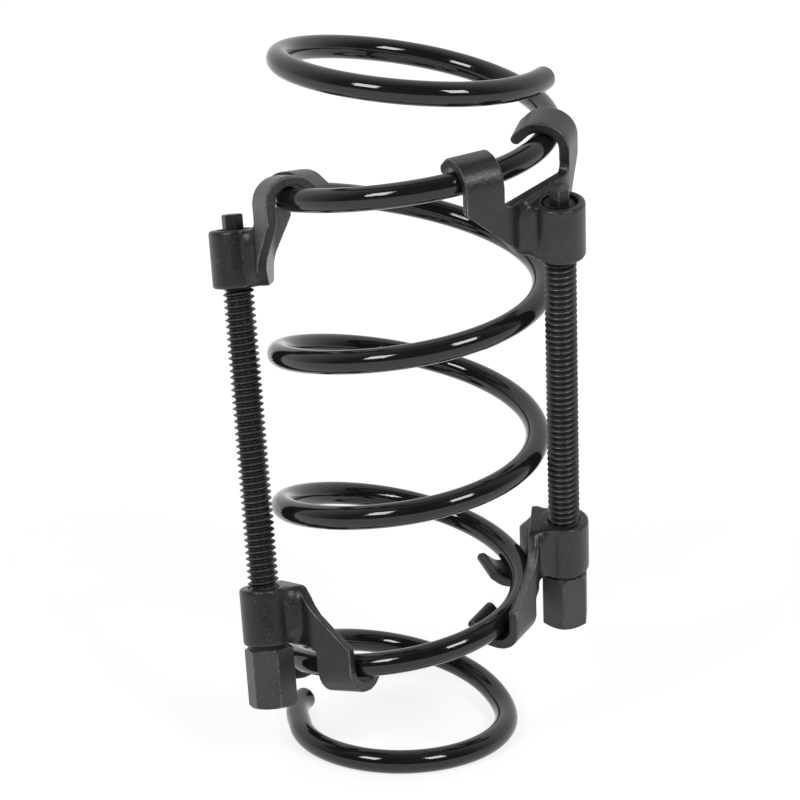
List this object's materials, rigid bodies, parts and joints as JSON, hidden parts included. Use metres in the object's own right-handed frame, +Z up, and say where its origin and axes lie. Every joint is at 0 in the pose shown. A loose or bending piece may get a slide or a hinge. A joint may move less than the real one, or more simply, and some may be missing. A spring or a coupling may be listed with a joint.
{
  "type": "coil spring compressor",
  "caption": "Hook-type coil spring compressors clamped on a road spring: threaded spindles with paired-hook jaws, thrust washers and hex drive ends.",
  "frame": {"origin": "centre of the plan box, on the plane that the spring's foot stands on", "axes": "+Z up along the spring, +X to the right and -Y towards the viewer of the stored pose"},
  "size_m": [0.1894, 0.1488, 0.3641],
  "materials": {
    "spring_paint": "gloss",
    "forged_black": "satin",
    "black_oxide": "satin",
    "dark_steel": "satin"
  },
  "bodies": {
    "base": {"spring": "spring_paint", "left_lower_jaw": "forged_black", "right_lower_jaw": "forged_black", "left_thrust_washer": "dark_steel", "right_thrust_washer": "dark_steel"},
    "left_screw": {"left_spindle": "black_oxide", "left_drive_hex": "dark_steel"},
    "right_screw": {"right_spindle": "black_oxide", "right_drive_hex": "dark_steel"},
    "left_upper": {"left_upper_jaw": "forged_black"},
    "right_upper": {"right_upper_jaw": "forged_black"}
  },
  "joints": [
    {"name": "right_spin", "type": "hinge", "parent": "base", "child": "right_screw", "pos_m": [0.08189, -0.01175, 0.10858], "axis": [-0.0237, -0.2105, 0.9773], "range_deg": [0, 1440]},
    {"name": "left_spin", "type": "hinge", "parent": "base", "child": "left_screw", "pos_m": [-0.06934, -0.03638, 0.08048], "axis": [-0.0665, 0.1979, 0.978], "range_deg": [0, 1235]},
    {"name": "right_travel", "type": "slide", "parent": "base", "child": "right_upper", "axis": [0.0237, 0.2105, -0.9773], "range_m": [0, 0.01271], "deforming": ["spring"]},
    {"name": "left_travel", "type": "slide", "parent": "base", "child": "left_upper", "axis": [0.0665, -0.1979, -0.978], "range_m": [0, 0.0109]}
  ],
  "couplings": [
    {"joint": "left_spin", "follows": "right_spin", "ratio": 0.85714},
    {"joint": "right_travel", "follows": "right_spin", "m_per_rad": 0.00050532},
    {"joint": "left_travel", "follows": "right_spin", "m_per_rad": 0.00043313}
  ]
}
